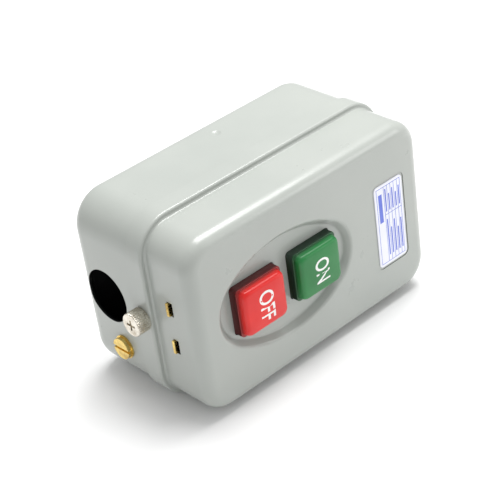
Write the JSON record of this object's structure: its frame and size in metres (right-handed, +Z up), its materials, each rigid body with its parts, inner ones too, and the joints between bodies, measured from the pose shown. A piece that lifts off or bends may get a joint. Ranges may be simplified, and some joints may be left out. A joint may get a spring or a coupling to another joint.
{
  "type": "magnetic motor starter",
  "caption": "Surface-mounted magnetic motor starter: pressed grey steel box with red and green push buttons in an oval dish, knurled cover screw, contactor and overload relay inside.",
  "frame": {"origin": "centre of the four wall fixing holes, on the flat back face of the box", "axes": "+X along the box towards the label end, +Y out of the back towards the wall, -Y to the front with the buttons, +Z up as the part lies on its side"},
  "size_m": [0.1593, 0.0852, 0.096],
  "materials": {
    "painted_steel": "semi-gloss grey paint",
    "label": "printed plate",
    "red_cap": "glossy",
    "green_cap": "glossy",
    "nickel": "nickel plate",
    "brass": "bright",
    "zinc_steel": "zinc plated",
    "spring_steel": "drawn wire",
    "black_moulding": "moulded",
    "cream_moulding": "moulded",
    "dark_moulding": "moulded",
    "iron_laminations": "stacked sheets",
    "copper": "bare copper",
    "coil_wire": "enamelled",
    "silver_tips": "contact alloy",
    "blue_cap": "moulded",
    "white_cap": "moulded",
    "lead_sleeve": "insulated wire"
  },
  "bodies": {
    "enclosure": {"back_box": "painted_steel", "locating_clip": "spring_steel", "earth_washer": "brass", "earth_nut": "brass", "chassis_plate": "zinc_steel", "chassis_bosses": "zinc_steel", "chassis_screws": "zinc_steel", "mounting_screws": "zinc_steel", "contactor_base": "black_moulding", "fixed_core": "iron_laminations", "shading_rings": "copper", "coil_bobbin": "cream_moulding", "coil_winding": "coil_wire", "return_springs": "spring_steel", "coil_terminals": "brass", "arc_chamber": "dark_moulding", "line_terminals": "brass", "load_terminals": "brass", "fixed_tips": "silver_tips", "terminal_screws": "zinc_steel", "power_links": "copper", "overload_case": "black_moulding", "overload_lid": "dark_moulding", "bimetal_strips": "zinc_steel", "heater_windings": "copper", "trip_lever_pin": "zinc_steel", "overload_terminals": "brass", "reset_spring": "spring_steel", "contact_bracket": "zinc_steel", "start_block": "cream_moulding", "stop_block": "cream_moulding", "block_terminals": "brass", "start_plunger_spring": "spring_steel", "stop_plunger_spring": "spring_steel", "control_leads": "lead_sleeve"},
    "front_cover": {"cover": "painted_steel", "label_plate": "label", "button_guide": "brass", "thumb_screw_nut": "nickel", "off_button_spring": "spring_steel", "on_button_spring": "spring_steel"},
    "off_push": {"off_button": "red_cap"},
    "on_push": {"on_button": "green_cap"},
    "cover_screw": {"thumb_screw": "nickel"},
    "ground_screw": {"earth_screw": "brass"},
    "armature": {"moving_core": "iron_laminations", "contact_carrier": "black_moulding", "moving_bridges": "copper", "moving_tips": "silver_tips", "contact_springs": "spring_steel"},
    "start_push": {"start_plunger": "white_cap", "start_bridge": "silver_tips"},
    "stop_push": {"stop_plunger": "white_cap", "stop_bridge": "silver_tips"},
    "trip_slide": {"trip_bar": "cream_moulding"},
    "trip_latch": {"trip_lever": "brass"},
    "reset_push": {"overload_reset": "blue_cap"},
    "dial": {"current_dial": "white_cap"}
  },
  "joints": [
    {"name": "cover_lift", "type": "slide", "parent": "enclosure", "child": "front_cover", "axis": [0, -1, 0], "range_m": [0, 0.09]},
    {"name": "thumb_screw_turn", "type": "hinge", "parent": "front_cover", "child": "cover_screw", "pos_m": [-0.076, -0.04675, 0], "axis": [-1, 0, 0], "continuous": true},
    {"name": "off_button_press", "type": "slide", "parent": "front_cover", "child": "off_push", "axis": [0, 1, 0], "range_m": [0, 0.004], "stiffness_N_per_m": 500, "springref_m": -0.004, "deforming": ["off_button_spring"]},
    {"name": "on_button_press", "type": "slide", "parent": "front_cover", "child": "on_push", "axis": [0, 1, 0], "range_m": [0, 0.004], "stiffness_N_per_m": 500, "springref_m": -0.004, "deforming": ["on_button_spring"]},
    {"name": "stop_plunger_press", "type": "slide", "parent": "enclosure", "child": "stop_push", "axis": [0, 1, 0], "range_m": [0, 0.004], "stiffness_N_per_m": 200, "springref_m": -0.003, "deforming": ["stop_plunger_spring"]},
    {"name": "start_plunger_press", "type": "slide", "parent": "enclosure", "child": "start_push", "axis": [0, 1, 0], "range_m": [0, 0.004], "stiffness_N_per_m": 200, "springref_m": -0.003, "deforming": ["start_plunger_spring"]},
    {"name": "earth_screw_turn", "type": "hinge", "parent": "enclosure", "child": "ground_screw", "pos_m": [-0.0746, -0.026, -0.0255], "axis": [-1, 0, 0], "continuous": true},
    {"name": "armature_close", "type": "slide", "parent": "enclosure", "child": "armature", "axis": [0, 1, 0], "range_m": [0, 0.004], "stiffness_N_per_m": 900, "springref_m": -0.006, "deforming": ["return_springs"]},
    {"name": "overload_trip", "type": "slide", "parent": "enclosure", "child": "trip_slide", "axis": [0, 0, 1], "range_m": [0, 0.002], "stiffness_N_per_m": 150, "springref_m": -0.002},
    {"name": "trip_lever_swing", "type": "hinge", "parent": "enclosure", "child": "trip_latch", "pos_m": [-0.0202, -0.0338, 0.0135], "axis": [0, 1, 0], "range_deg": [0, 14]},
    {"name": "overload_reset_press", "type": "slide", "parent": "enclosure", "child": "reset_push", "axis": [0, 1, 0], "range_m": [0, 0.002], "stiffness_N_per_m": 300, "springref_m": -0.003, "deforming": ["reset_spring"]},
    {"name": "current_dial_turn", "type": "hinge", "parent": "enclosure", "child": "dial", "pos_m": [-0.0185, -0.038, 0.0085], "axis": [0, -1, 0], "range_deg": [-60, 60]}
  ],
  "couplings": [
    {"joint": "stop_plunger_press", "follows": "off_button_press", "ratio": 1},
    {"joint": "start_plunger_press", "follows": "on_button_press", "ratio": 1},
    {"joint": "trip_lever_swing", "follows": "overload_trip", "rad_per_m": 111}
  ]
}
